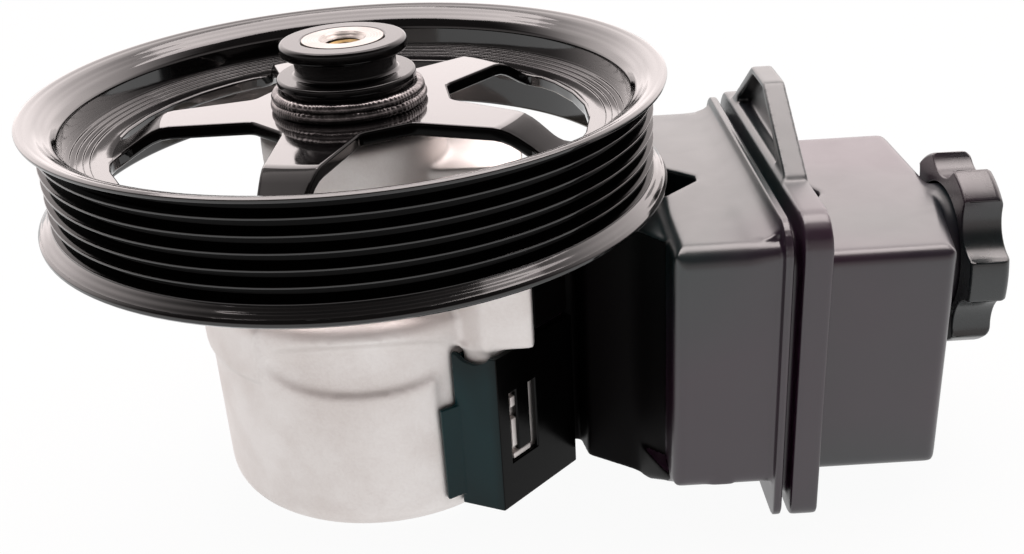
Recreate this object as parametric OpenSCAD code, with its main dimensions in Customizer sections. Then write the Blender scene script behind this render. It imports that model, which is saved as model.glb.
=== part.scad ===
// Vane-type power steering pump with a clip-on fluid reservoir and a spoked belt pulley.
// The pump stands on the rear face of its housing: the shaft points up, the reservoir lies along +X.

/* [Pulley] */
// Outer radius of the two belt flanges
flange_r = 74.6; // [73:0.1:80]
// Radius over the tips of the belt ribs
rib_r = 71.4; // [70.6:0.1:72.4]
// Depth of each belt groove
groove_d = 2.6; // [2:0.1:3]
// Distance from groove to groove
groove_pitch = 3.56; // [3.3:0.01:3.8]
// Number of belt grooves
groove_n = 6; // [4:1:6]
// Inner radius of the rim
rim_r = 66; // [64:0.1:66.6]
// Thickness of the pressed web
web_t = 3.2; // [2:0.1:4]
// Height of the rim's lip above the web
rim_rise = 5.7; // [4:0.1:9]
// Depth of the rim's inner ring below the web
ring_drop = 6.4; // [4:0.1:8]
// Radius at which the spokes start to slope down
slope_r = 42; // [36:0.5:46]
// Number of spokes
spoke_n = 5; // [4:1:6]
// Width of a spoke at the hub
spoke_root_w = 18; // [14:0.5:20]
// Width of a spoke at the rim
spoke_tip_w = 9; // [7:0.5:12]
// Inner radius of the windows
window_r0 = 24.6; // [23:0.1:28]
// Outer radius of the windows
window_r1 = 56.3; // [52:0.1:58]
// Corner radius of the windows
window_corner_r = 4; // [2:0.5:5]

/* [Hub and shaft] */
// Radius of the drive shaft
shaft_r = 9.5; // [8:0.1:10]
// Radius of the tapped hole in the shaft's end
shaft_tap_r = 4.25; // [3:0.05:5]
// Depth of the tapped hole in the shaft's end
shaft_tap_l = 26; // [15:1:40]
// Radius of the hub's top disc
hub_disc_r = 14.8; // [14:0.1:17]
// Thickness of the hub's top disc
hub_disc_t = 3; // [2:0.1:5]
// Radius of the puller groove
hub_neck_r = 11.9; // [11:0.1:13]
// Height of the puller groove
hub_neck_h = 4.9; // [3:0.1:8]
// Radius of the hub's collar
hub_collar_r = 16.3; // [15.8:0.1:17.5]
// Thickness of the hub's collar
hub_collar_t = 2.1; // [1.5:0.1:4]
// Radius of the hub's foot, where it is welded
hub_foot_r = 15.2; // [14.2:0.1:15.6]
// Height of the hub's foot above the web
hub_foot_h = 5.3; // [4:0.1:8]
// Radius of the hub's spigot in the web
hub_spigot_r = 12.6; // [11.5:0.1:13.5]
// Reach of the weld bead out from the hub's foot
weld_w = 3.3; // [2:0.1:5]

/* [Housing] */
// Outer radius of the cast body
body_r = 41; // [39:0.5:44]
// Height of the cast body
body_h = 55; // [52:0.5:57]
// Rounding of the body's rear edge
body_round = 5; // [2:0.5:7]
// Radius of the nose around the shaft
nose_r = 22; // [18:0.5:23]
// Height of the nose above the body
nose_h = 35; // [32:0.5:38]
// Running gap between the nose and the web
nose_gap = 1.6; // [1:0.1:4]
// Radius of the bore that takes the pumping parts
bore_r = 29; // [28:0.1:32]
// Depth of that bore from the rear face
bore_l = 46; // [45:0.5:47]
// Lower edge of the recess in the body's front
recess_z0 = 37.5; // [34:0.5:42]
// Upper edge of the recess in the body's front
recess_z1 = 51; // [48:0.5:52]
// Depth of that recess
recess_d = 3.6; // [2:0.2:5]
// Half angle that the recess takes up
recess_half = 32; // [28:1:40]
// Radius of the three mounting bosses
boss_r = 9; // [7.5:0.5:10]
// Height of the mounting bosses above the body
boss_h = 10; // [6:0.5:12]
// Pitch circle radius of the mounting bosses
boss_pcr = 30; // [29:0.5:32]
// Radius of the tapped mounting holes
boss_tap_r = 4.25; // [3:0.05:5]
// Depth of the tapped mounting holes
boss_tap_l = 16; // [12:0.5:17]

/* [Reservoir joint] */
// Distance from the shaft to the joint with the reservoir
joint_x = 40; // [39:0.5:42]
// Half width of the valve block on the joint
block_half_w = 38.6; // [37.5:0.2:40]
// Lower edge of the valve block
block_z0 = 46; // [45:0.5:48]
// Upper edge of the valve block
block_z1 = 67; // [66:0.5:69]
// Left face of the valve block
block_x0 = 20.5; // [19:0.5:21.5]
// Distance from the shaft to the clip's corner
clip_x = 30.6; // [30:0.2:32]
// Distance from the middle plane to the clip's corner
clip_y = 39.2; // [38.6:0.2:40.4]
// Thickness of the clip's steel
clip_t = 1.5; // [1.2:0.1:2.2]
// Lower end of the clips
clip_z0 = 3; // [2:0.5:5]
// Clearance around the clips
clip_gap = 0.3; // [0.2:0.05:0.5]
// Gap between a clip's upper end and the valve block
clip_top_gap = 1.2; // [0.4:0.1:3]

/* [Reservoir] */
// Lower face of the reservoir's pump half
base_z0 = 11; // [9:0.5:13]
// Upper face of the reservoir's pump half
base_z1 = 72; // [70:0.2:72.6]
// Half width of the reservoir's pump half
base_half_w = 47.4; // [45:0.2:48]
// Start of the wide part of the pump half
base_x0 = 72; // [69:0.5:76]
// Face on which the two halves are welded
weld_x = 95.2; // [92:0.2:100]
// Half width of the neck at the joint
neck_half_w = 13.6; // [12.5:0.1:14.4]
// Half width of the neck beyond the clips
flare_half_w = 21; // [18:0.5:24]
// Lower face of the neck
neck_z0 = 4.4; // [3:0.2:6]
// Wall of the reservoir
wall = 3; // [2:0.1:4]
// Depth of the pockets in the reservoir's upper faces
pocket_d = 9; // [6:0.5:9.5]
// Rounding of the reservoir's edges
edge_r = 3.5; // [3:0.5:5]
// Thickness of the pump half's lip
lip_t = 2; // [1.5:0.1:3]
// Height of the flange above the lip it is welded to
band_step = 1.2; // [0.5:0.1:2]
// Width of the groove between the lip and the flange
band_groove = 1.9; // [0.6:0.1:2.5]
// Half width of the weld flange
band_half_w = 49.5; // [49:0.5:53]
// Lower edge of the weld flange
band_z0 = 2.4; // [1:0.2:5]
// Height of the weld flange
band_h = 74.2; // [72:0.2:76]
// Thickness of the filler half's flange
band_t = 8.2; // [6:0.1:11]
// Height of the flange's ear above the weld flange
ear_h = 15.2; // [8:0.2:20]
// Place of the ear's peak across the flange
ear_y = 7.5; // [2:0.5:12]
// Length of the filler half beyond its flange
end_l = 30.6; // [26:0.2:38]
// Extra length of the filler half at its rear side
end_skew = 7; // [1:0.5:9]
// Half width of the filler half
end_half_w = 38.5; // [36:0.5:41]
// Lower face of the filler half
end_z0 = 7.5; // [7:0.5:11]
// Upper face of the filler half
end_z1 = 65; // [62:0.5:69]

/* [Filler cap] */
// Outer radius of the cap's lobes
cap_r = 23.6; // [22:0.1:25]
// Thickness of the cap
cap_t = 9.5; // [8.5:0.5:13]
// Number of lobes
cap_lobes = 6; // [5:1:8]
// Radius of the scallops between the lobes
scallop_r = 9; // [6:0.5:10]
// Depth of the scallops
scallop_d = 4.7; // [2:0.1:5.5]
// Height of the cap's axis
cap_z = 49; // [46:0.5:51]
// Outer radius of the filler neck
filler_r = 16; // [14:0.5:18]
// Gap between the cap and the end wall
cap_gap = 1; // [0.5:0.1:3]
// Thickness of the cap's gasket
gasket_t = 2; // [1.5:0.1:3]
// Length of the dipstick
stick_l = 48; // [30:1:50]
// Width of the dipstick's blade
stick_w = 6; // [4:0.5:7]
// Thickness of the dipstick's blade
stick_t = 1.6; // [1:0.1:3]
// Radius of the dipstick's foot inside the cap
foot_r = 5; // [4:0.5:8]
// Thickness of the dipstick's foot
foot_t = 3; // [2:0.5:5]

/* [Pumping parts] */
// Thickness of the rotor and the cam ring
rotor_t = 15; // [12:0.5:16]
// Radius of the rotor
rotor_r = 20; // [18.5:0.1:20.5]
// Number of vanes
vane_n = 10; // [8:2:12]
// Thickness of a vane
vane_t = 1.8; // [1.2:0.1:2.4]
// Depth of a vane
vane_d = 8; // [6:0.2:8.6]
// Smallest radius of the cam ring's oval
cam_minor_r = 20.8; // [20.6:0.1:21.4]
// Rise of the cam ring's oval
cam_rise = 2.2; // [1:0.1:3]
// Thickness of the thrust plate
thrust_t = 5; // [4:0.2:6]
// Thickness of the pressure plate
plate_t = 6.5; // [5.5:0.1:7]
// Thickness of the rear end cover
cover_t = 6.5; // [6:0.1:7]
// Radius of the dowel pins
dowel_r = 1.6; // [1:0.1:1.8]
// Height of the valve bore
valve_z = 56.5; // [55.5:0.5:57.5]
// Radius of the valve bore
valve_r = 6.8; // [5.5:0.1:7]
// Length of the flow control valve
valve_l = 22; // [16:1:24]
// Stroke of the flow control valve
valve_stroke = 6; // [3:0.5:7]
// Radius of the outlet fitting's port
outlet_r = 4; // [3:0.1:4.5]
// Length of the outlet fitting beyond the valve block
outlet_l = 18; // [12:0.5:24]
// Radius of the return hose nipple
nipple_r = 4.8; // [4:0.1:6]
// Length of the return hose nipple
nipple_l = 24; // [16:1:30]

/* [Fits] */
// Running clearance of the shaft
run_gap = 0.05; // [0.01:0.01:0.1]
// Clearance of parts pressed or slid together
fit_gap = 0.03; // [0.01:0.01:0.08]
// Clearance between fixed parts that face each other
seat_gap = 0.1; // [0.05:0.05:0.3]
// Radius of the seal cords
cord_r = 1.3; // [1:0.1:1.6]

/* [Hidden] */
$fn = 72;

steel = "#8d9299";
bright = "#c9ccd0";
black_steel = "#17181b";
alloy = "#d9d4d0";
plastic = "#2b282b";
rubber = "#1c1c1c";
bronze = "#b08a4a";

eps = 0.01;
// Heights up the shaft, from the rear face to the pulley's lip
nose_z = body_h + nose_h;
web_z = nose_z + nose_gap + web_t;
ring_z = web_z - ring_drop;
lip_z = web_z + rim_rise;
groove_top = lip_z - 1.84;
groove_z = [for (i = [0:groove_n - 1]) groove_top - groove_pitch * (i + 0.5)];
rim_z0 = groove_top - groove_pitch * groove_n - 3.8;
rib_land = 0.22;
groove_half = groove_pitch / 2 - rib_land;
root_half = groove_half - groove_d * tan(20);
root_r = rib_r - groove_d;
first_spoke = -101;
hub_top = web_z + hub_foot_h + hub_collar_t + hub_neck_h + hub_disc_t;

// Heights of the pumping parts in the bore, from its inner end back to the rear face
thrust_z = bore_l - thrust_t;
cam_z = thrust_z - rotor_t;
plate_z = cam_z - plate_t;
ring_wire = 1.1;
ring_groove_z = 2.6;
cover_z = ring_groove_z + ring_wire + seat_gap;
spring_z0 = cover_z + cover_t;
hub_hole_r = shaft_r + 2;
shaft_z0 = cam_z - 3;
spline_r = shaft_r - 2.2;
spline_n = 12;
snap_t = 1.4;
nose_bush_l = 24;
seal_t = 6;
bush_r = shaft_r + 2.8;
seal_r = shaft_r + 5.5;
dowel_pcr = (bore_r + cam_minor_r + cam_rise) / 2 + 0.4;
dowel_a = 45;

// The flow control valve lies across the block, beside the nose
valve_x = (block_x0 + joint_x) / 2;
valve_end_y = -(block_half_w - 14);
outlet_thread_l = 12;
valve_y1 = block_half_w - outlet_thread_l - 3;
valve_y0 = valve_y1 - valve_l;
suction_r = 5.5;
spring_wire = 0.6;
waist_r = valve_r - 2.2;
pocket_r = waist_r - 1.2;
pocket_l = 5;

// Plan of the front clip: hook, left wing, right wing and hook, mirrored for the rear clip
clip_z1 = block_z0 - clip_top_gap;
clip_p1 = [clip_x - 9.6, -(clip_y - 4.4)];
clip_p2 = [clip_x, -clip_y];
wing_l = 26;
wing_a = 46.5;
clip_p3 = clip_p2 + wing_l * [cos(wing_a), sin(wing_a)];
clip_hook0 = clip_p1 + [3.4, 4.6];
clip_hook3 = clip_p3 + [-2.2, 3.6];
clip_tab = clip_p1 + [-3.7, -2.9];
clip_tab_z1 = clip_z0 + 28;
rail_z0 = clip_z0 + 2.5;
rail_y = clip_p2.y + (joint_x - clip_p2.x) * tan(wing_a);

// Lengths along the reservoir
lip_x = weld_x - lip_t;
band_x1 = weld_x + band_t;
end_x1 = band_x1 + end_l;
cap_y = -4;
cap_x0 = end_x1 + end_skew + cap_gap;
cap_top_t = 3;
cap_floor_x = cap_x0 + cap_t - cap_top_t;
filler_x1 = cap_floor_x - gasket_t;
nipple_x = base_x0 + 11;
nipple_z = base_z0 + 26;

function unit(v) = v / norm(v);

// Arc of radius r that rounds the corner b between its neighbours a and c
function corner_arc(a, b, c, r, n = 6) =
  let (u = unit(a - b), v = unit(c - b), half = acos(u * v) / 2)
  let (centre = b + unit(u + v) * (r / sin(half)))
  let (s = b + u * (r / tan(half)) - centre, e = b + v * (r / tan(half)) - centre)
  let (a0 = atan2(s.y, s.x), sweep = (atan2(e.y, e.x) - a0 + 540) % 360 - 180)
  [for (i = [0:n]) centre + r * [cos(a0 + sweep * i / n), sin(a0 + sweep * i / n)]];

// Outline through [x, y, corner radius] points
function rounded(pts) =
  [for (i = [0:len(pts) - 1])
    let (p = pts[i], q = pts[(i + len(pts) - 1) % len(pts)], s = pts[(i + 1) % len(pts)])
    each p[2] > 0 ? corner_arc([q.x, q.y], [p.x, p.y], [s.x, s.y], p[2]) : [[p.x, p.y]]];

// Gives plain [x, y] points a corner radius of none
function sharp(pts) = [for (p = pts) [p.x, p.y, 0]];

// Outline of [x, y, corner radius] points with its mirror image across the X axis
function both_sides(pts) =
  concat(pts, [for (i = [len(pts) - 1:-1:0]) [pts[i].x, -pts[i].y, pts[i][2]]]);

// Outline of [x, y, corner radius] points with its mirror image across the Y axis
function both_sides_y(pts) =
  concat(pts, [for (i = [len(pts) - 1:-1:0]) [-pts[i].x, pts[i].y, pts[i][2]]]);

// Plain outline of [x, y] points with its mirror image across the X axis
function mirrored(pts) =
  concat(pts, [for (i = [len(pts) - 1:-1:0]) [pts[i].x, -pts[i].y]]);

// Outline of a flat strip of sheet along a bent path, with mitred bends and its ends drawn out
function strip_outline(path, t, more) =
  let (n = len(path))
  let (run = [for (i = [0:n - 2]) unit(path[i + 1] - path[i])])
  let (line = [for (i = [0:n - 1])
    path[i] + (i == 0 ? -more * run[0] : i == n - 1 ? more * run[n - 2] : [0, 0])])
  let (side = [for (i = [0:n - 1])
    let (u = run[max(i - 1, 0)], m = unit(u + run[min(i, n - 2)]))
    [-m.y, m.x] * t / (2 * (m * u))])
  concat(line + side, [for (i = [n - 1:-1:0]) line[i] - side[i]]);

module ring(r0, r1, z0, z1) {
  translate([0, 0, z0])
    difference() {
      cylinder(r = r1, h = z1 - z0);
      translate([0, 0, -eps])
        cylinder(r = r0, h = z1 - z0 + 2 * eps);
    }
}

module cord_ring(r, section) {
  rotate_extrude()
    translate([r, 0])
      circle(r = section, $fn = 24);
}

// Helical spring of round wire with its ends on z = 0 and z = h
module coil_spring(r, wire, h, turns, sides = 8, steps = 16) {
  rings = turns * steps;
  rise = h - 2 * wire;
  pts = [for (i = [0:rings], k = [0:sides - 1])
    let (a = 360 * i / steps, b = 360 * k / sides, d = r + wire * cos(b))
    [d * cos(a), d * sin(a), wire + rise * i / rings + wire * sin(b)]];
  walls = [for (i = [0:rings - 1], k = [0:sides - 1])
    let (n = (k + 1) % sides)
    [i * sides + k, i * sides + n, (i + 1) * sides + n, (i + 1) * sides + k]];
  ends = [[for (k = [sides - 1:-1:0]) k], [for (k = [0:sides - 1]) rings * sides + k]];
  polyhedron(pts, concat(ends, walls), convexity = 8);
}

// Outline of a box with rounded corners, from its middle line and its lower edge
module rounded_rect(half_w, z0, z1, r) {
  polygon(rounded([[-half_w, z0, r], [half_w, z0, r], [half_w, z1, r], [-half_w, z1, r]]));
}

// Turns an outline drawn across the reservoir (width, height) to face along X
module across(x, t) {
  translate([x, 0, 0])
    rotate([90, 0, 90])
      linear_extrude(t)
        children();
}

// Turns an outline drawn along the reservoir (length, height) to face along Y
module along(half_l) {
  rotate([90, 0, 0])
    translate([0, 0, -half_l])
      linear_extrude(2 * half_l)
        children();
}

// Box with rounded edges, except those at its x1 end
module soft_box(x0, x1, half_w, z0, z1, r) {
  clear = 0.2;
  far = x1 + 2 * r;
  intersection() {
    across(x0, x1 - x0)
      rounded_rect(half_w, z0, z1, r);
    along(half_w + 1)
      polygon(rounded([[x0, z0 - clear, r], [far, z0 - clear, 0], [far, z1 + clear, 0],
                       [x0, z1 + clear, r]]));
    linear_extrude(z1 + 1)
      polygon(rounded([[x0 - clear, -half_w - clear, r], [far, -half_w - clear, 0],
                       [far, half_w + clear, 0], [x0 - clear, half_w + clear, r]]));
  }
}

// Slope of the web from the flat centre down to the rim's ring
function slope(u) = (1 - cos(180 * u)) / 2;

module pulley_section() {
  step_n = 5;
  dish_r = window_r1 + 1.3;
  step_w = (rim_r - dish_r - 1.3) / step_n;
  step_h = 0.42;
  grooves = [for (i = [groove_n - 1:-1:0])
    each [[rib_r, groove_z[i] - groove_half], [root_r, groove_z[i] - root_half],
          [root_r, groove_z[i] + root_half], [rib_r, groove_z[i] + groove_half]]];
  steps = [for (k = [0:step_n - 1])
    each [[rim_r - step_w * k, ring_z + step_h * (step_n - k)],
          [rim_r - step_w * (k + 1) + 0.15, ring_z + step_h * (step_n - k)]]];
  dish = [for (i = [0:8])
    [dish_r - (dish_r - slope_r) * i / 8, ring_z + ring_drop * slope(i / 8)]];
  under = [for (i = [8:-1:0]) dish[i] - [0, web_t]];
  lower = [[rim_r, rim_z0, 0.8], [flange_r - 0.7, rim_z0, 0.8], [flange_r, rim_z0 + 0.7, 0.4],
           [flange_r, rim_z0 + 1.4, 0.4], [flange_r - 0.6, rim_z0 + 2, 0.5], [rib_r, rim_z0 + 3.8, 0]];
  upper = [[rib_r, groove_top, 0], [flange_r - 0.2, lip_z - 1.1, 0.4], [flange_r, lip_z - 0.3, 0.3],
           [flange_r - 0.9, lip_z + 0.1, 0.7], [flange_r - 3.5, lip_z - 0.7, 3],
           [rim_r + 1.4, lip_z - 3.1, 2], [rim_r, lip_z - 5, 2]];
  bore = [[hub_spigot_r + fit_gap, web_z], [hub_spigot_r + fit_gap, web_z - web_t]];
  polygon(rounded(concat(lower, sharp(grooves), upper, sharp(steps), sharp(dish), sharp(bore),
                         sharp(under), [[rim_r, ring_z - web_t, 0]])));
}

// Window between two spokes, centred on the X axis
module window_outline() {
  half = 180 / spoke_n;
  edge0 = spoke_root_w / 2;
  edge1 = spoke_tip_w / 2;
  a0 = half - asin(edge0 / window_r0);
  a1 = half - asin(edge1 / window_r1);
  arc = [for (i = [-3:3]) a1 * i / 3];
  inner = [[window_r0 * cos(a0), window_r0 * sin(a0), window_corner_r * 0.8],
           [window_r0 * cos(a0), -window_r0 * sin(a0), window_corner_r * 0.8]];
  outer = [for (a = arc)
    [window_r1 * cos(a), window_r1 * sin(a), abs(a) > a1 - 0.1 ? window_corner_r : 0]];
  polygon(rounded(concat(inner, outer)));
}

module pulley() {
  color(black_steel)
    difference() {
      rotate_extrude($fn = 120)
        pulley_section();
      for (i = [0:spoke_n - 1])
        rotate(first_spoke + 360 / spoke_n * (i + 0.5))
          translate([0, 0, rim_z0])
            linear_extrude(lip_z - rim_z0 + 1)
              window_outline();
    }
}

module pulley_hub() {
  foot = web_z + hub_foot_h;
  collar = foot + hub_collar_t;
  neck = collar + hub_neck_h;
  color(black_steel)
    rotate_extrude()
      polygon(rounded([[shaft_r + fit_gap, web_z - web_t, 0], [hub_spigot_r, web_z - web_t, 0],
                       [hub_spigot_r, web_z, 0], [hub_foot_r, web_z, 0], [hub_foot_r, foot, 0.3],
                       [hub_collar_r, foot, 0.7], [hub_collar_r, collar, 0.7], [hub_neck_r, collar, 1],
                       [hub_neck_r, neck, 0.8], [hub_disc_r, neck, 0.6], [hub_disc_r, hub_top, 1],
                       [shaft_r + 0.8, hub_top, 0], [shaft_r + fit_gap, hub_top - 0.6, 0]]));
}

module weld_bead() {
  lump = weld_w * 0.46;
  color(black_steel)
    rotate_extrude()
      difference() {
        union() {
          translate([hub_foot_r + weld_w - lump, web_z + lump * 0.8])
            circle(lump, $fn = 24);
          translate([hub_foot_r + lump * 0.9, web_z + lump * 2])
            circle(lump, $fn = 24);
          translate([hub_foot_r, web_z])
            square([weld_w - lump, lump * 2]);
        }
        translate([0, web_z - 5])
          square([hub_foot_r + fit_gap, 20]);
        translate([0, web_z - 5])
          square([flange_r, 5 + fit_gap]);
      }
}

module spline_outline(r, gap) {
  circle(r + gap);
  for (i = [0:spline_n - 1])
    rotate(360 / spline_n * i)
      translate([0, -(0.9 + gap)])
        square([r + 1 + gap, 2 * (0.9 + gap)]);
}

module drive_shaft() {
  snap_z = cam_z - seat_gap - snap_t;
  color(steel)
    difference() {
      union() {
        translate([0, 0, bore_l + 1])
          cylinder(r = shaft_r, h = hub_top - bore_l - 1);
        translate([0, 0, shaft_z0])
          linear_extrude(bore_l + 1 - shaft_z0)
            spline_outline(spline_r, 0);
      }
      ring(spline_r - 0.6, shaft_r + 1, snap_z - fit_gap, snap_z + snap_t + fit_gap);
      translate([0, 0, hub_top - shaft_tap_l])
        cylinder(r = shaft_tap_r, h = shaft_tap_l + eps);
      translate([0, 0, hub_top - 1.3])
        cylinder(r1 = shaft_tap_r, r2 = shaft_tap_r + 1.4, h = 1.3 + eps);
    }
}

module rotor() {
  slot_r = rotor_r - vane_d - 0.6;
  color(steel)
    translate([0, 0, cam_z + run_gap])
      linear_extrude(rotor_t - 2 * run_gap)
        difference() {
          circle(rotor_r);
          spline_outline(spline_r, fit_gap);
          for (i = [0:vane_n - 1])
            rotate(360 / vane_n * i) {
              translate([slot_r, -vane_t / 2 - fit_gap])
                square([vane_d + 2, vane_t + 2 * fit_gap]);
              translate([slot_r, 0])
                circle(vane_t * 0.75);
            }
        }
}

module vanes() {
  color(bright)
    for (i = [0:vane_n - 1])
      rotate(360 / vane_n * i)
        translate([rotor_r - vane_d + 0.2, -vane_t / 2, cam_z + 2 * run_gap])
          cube([vane_d, vane_t, rotor_t - 4 * run_gap]);
}

module rotor_snap_ring() {
  gap_w = 5;
  snap_z = cam_z - seat_gap - snap_t;
  color(steel)
    difference() {
      ring(spline_r - 0.6 + fit_gap, spline_r + 2.4, snap_z, snap_z + snap_t);
      translate([0, -gap_w / 2, snap_z - 1])
        cube([shaft_r + 4, gap_w, snap_t + 2]);
    }
}

// Footprints in plan of the front clip, its hook and its tab, with room around them
function clip_plan(gap) =
  strip_outline([clip_p1, clip_p2, clip_p3, clip_hook3], clip_t + 2 * gap, gap);
function clip_fold_plan(end, gap) =
  strip_outline([end, clip_p1 + unit(clip_p2 - clip_p1) * clip_t * 0.6], clip_t - 0.2 + 2 * gap, gap);

// Room for both clips, cut out of what they hold together
module clip_room() {
  for (side = [0, 1])
    mirror([0, side, 0])
      translate([0, 0, -1])
        linear_extrude(clip_z1 + clip_top_gap + 1) {
          polygon(clip_plan(clip_gap));
          polygon(clip_fold_plan(clip_hook0, clip_gap));
          polygon(clip_fold_plan(clip_tab, clip_gap));
        }
}

module housing_section() {
  shoulder = 4;
  fillet = 5;
  polygon(rounded([[0, 0, 0], [body_r, 0, body_round], [body_r, body_h, shoulder],
                   [nose_r, body_h, fillet], [nose_r, nose_z, 1.5], [0, nose_z, 0]]));
}

// Shallow scoop round the front of the body, which runs out to nothing at recess_half to each side
module front_recess() {
  half_h = (recess_z1 - recess_z0) / 2;
  scoop_r = (half_h * half_h + recess_d * recess_d) / (2 * recess_d);
  out_r = body_r + scoop_r;
  centre_r = out_r - recess_d;
  back = (out_r * out_r - centre_r * centre_r) / (2 * (centre_r - out_r * cos(recess_half)));
  translate([0, back, recess_z0 + half_h])
    rotate_extrude()
      translate([centre_r + back, 0])
        circle(scoop_r);
}

module valve_block() {
  bevel = 5.5;
  translate([0, 0, block_z0])
    linear_extrude(block_z1 - block_z0)
      polygon(rounded(both_sides([[block_x0 - 6, -(block_half_w - bevel - 6), 0],
                                  [block_x0 + 2, -(block_half_w - bevel), 1],
                                  [block_x0 + 8, -block_half_w, 1.5],
                                  [joint_x, -block_half_w, 0]])));
  translate([0, 0, rail_z0])
    linear_extrude(block_z0 - rail_z0 + eps)
      polygon(mirrored([[0, -body_r + 8], clip_p1, clip_p2, [joint_x, rail_y]]));
}

module pump_housing() {
  outlet_boss_r = valve_r + 3;
  ear_z0 = 39;
  ear_a = 56;
  bridge_half_w = 13;
  bridge_z1 = nose_z - 9;
  color(alloy)
    difference() {
      union() {
        difference() {
          rotate_extrude($fn = 96)
            housing_section();
          front_recess();
        }
        // Raised ear on the side away from the reservoir
        rotate(180)
          rotate_extrude(angle = ear_a)
            polygon(rounded([[nose_r, ear_z0, 0], [body_r + 1.2, ear_z0, 1],
                             [body_r + 1.2, body_h, 4], [nose_r, body_h, 0]]));
        for (i = [0:2])
          rotate(120 * i - 60)
            translate([boss_pcr, 0, body_h - 6])
              cylinder(r = boss_r, h = boss_h + 6);
        valve_block();
        // Bridge that ties the nose to the valve block
        translate([0, 0, body_h - 5])
          linear_extrude(bridge_z1 - body_h + 5)
            polygon(rounded(both_sides([[0, -bridge_half_w, 0], [joint_x, -bridge_half_w, 0]])));
        translate([valve_x, block_half_w - 6, valve_z])
          rotate([-90, 0, 0])
            cylinder(r = outlet_boss_r, h = 9);
      }
      clip_room();
      // Machined face of the joint with the reservoir
      translate([joint_x, -body_r, -eps])
        cube([body_r, 2 * body_r, nose_z]);
      // Bore for the pumping parts, with the groove of its retaining ring
      translate([0, 0, -eps])
        cylinder(r = bore_r, h = bore_l + eps);
      translate([0, 0, -eps])
        cylinder(r1 = bore_r + 1.2, r2 = bore_r, h = 1.2);
      translate([0, 0, ring_groove_z])
        cord_ring(bore_r - 0.1, ring_wire + fit_gap);
      translate([0, 0, bore_l - eps])
        cylinder(r = bush_r, h = nose_h + body_h);
      translate([0, 0, nose_z - seal_t - 0.5])
        cylinder(r = seal_r, h = seal_t + 1);
      for (i = [0:2])
        rotate(120 * i - 60)
          translate([boss_pcr, 0, body_h + boss_h - boss_tap_l])
            cylinder(r = boss_tap_r, h = boss_tap_l + eps);
      // Valve bore, outlet thread, suction port and discharge gallery
      translate([valve_x, valve_end_y, valve_z])
        rotate([-90, 0, 0])
          cylinder(r = valve_r, h = 2 * block_half_w);
      translate([valve_x, 0, valve_z])
        rotate([0, 90, 0])
          cylinder(r = suction_r, h = joint_x - valve_x + 1);
      translate([bore_r - 4, 14, bore_l - 1])
        cylinder(r = 2, h = valve_z - bore_l);
    }
}

module shaft_bushing() {
  color(bronze)
    ring(shaft_r + run_gap, bush_r - fit_gap, nose_z - seal_t - 1 - nose_bush_l, nose_z - seal_t - 1);
}

module shaft_seal() {
  color(rubber)
    rotate_extrude()
      polygon([[shaft_r + run_gap, nose_z - seal_t], [seal_r - fit_gap, nose_z - seal_t],
               [seal_r - fit_gap, nose_z - 0.4], [shaft_r + 2.4, nose_z - 0.4],
               [shaft_r + 2.4, nose_z - 2], [shaft_r + run_gap, nose_z - 3]]);
}

module dowel_holes() {
  for (side = [0, 180])
    rotate(dowel_a + side)
      translate([dowel_pcr, 0])
        circle(dowel_r + fit_gap, $fn = 24);
}

// Kidney shaped port between two angles
module kidney(r, w, a0, a1) {
  n = 8;
  arc0 = [for (i = [0:n]) let (a = a0 + (a1 - a0) * i / n) (r + w / 2) * [cos(a), sin(a)]];
  arc1 = [for (i = [n:-1:0]) let (a = a0 + (a1 - a0) * i / n) (r - w / 2) * [cos(a), sin(a)]];
  polygon(concat(arc0, arc1));
  for (a = [a0, a1])
    rotate(a)
      translate([r, 0])
        circle(d = w, $fn = 24);
}

module ported_plate(z0, z1, hole_r) {
  translate([0, 0, z0])
    linear_extrude(z1 - z0)
      difference() {
        circle(bore_r - fit_gap);
        circle(hole_r);
        dowel_holes();
        for (side = [0, 180])
          rotate(side) {
            kidney(cam_minor_r - 1.2, 3, -14, 14);
            kidney(cam_minor_r - 1.2, 3, 76, 104);
          }
      }
}

module thrust_plate() {
  color(bright)
    ported_plate(thrust_z, bore_l - fit_gap, hub_hole_r);
}

module cam_ring() {
  n = 90;
  oval = [for (i = [0:n - 1])
    let (a = 360 * i / n)
    (cam_minor_r + cam_rise * (1 - cos(2 * a)) / 2) * [cos(a), sin(a)]];
  color(steel)
    translate([0, 0, cam_z])
      linear_extrude(rotor_t - fit_gap)
        difference() {
          circle(bore_r - fit_gap);
          polygon(oval);
          dowel_holes();
        }
}

module pressure_plate() {
  color(bright)
    difference() {
      ported_plate(plate_z, cam_z - fit_gap, hub_hole_r);
      translate([0, 0, plate_z - eps])
        cord_ring(bore_r, 0.8);
    }
}

module dowel_pins() {
  color(steel)
    for (side = [0, 180])
      rotate(dowel_a + side)
        translate([dowel_pcr, 0, plate_z + 0.5])
          cylinder(r = dowel_r, h = bore_l - plate_z - 1, $fn = 24);
}

module pressure_spring() {
  color(steel)
    translate([0, 0, spring_z0 + seat_gap])
      coil_spring(hub_hole_r + 2.4, 1.1, plate_z - spring_z0 - 2 * seat_gap, 2);
}

module end_cover() {
  dish_d = 2;
  color(alloy)
    translate([0, 0, cover_z])
      difference() {
        cylinder(r = bore_r - fit_gap, h = cover_t);
        translate([0, 0, cover_t / 2])
          cord_ring(bore_r, cord_r + fit_gap);
        translate([0, 0, -eps])
          cylinder(r1 = bore_r - 7, r2 = bore_r - 7 - dish_d, h = dish_d);
      }
}

module end_cover_seal() {
  color(rubber)
    translate([0, 0, cover_z + cover_t / 2])
      intersection() {
        cord_ring(bore_r, cord_r);
        cylinder(r = bore_r - fit_gap, h = 10, center = true);
      }
}

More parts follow.
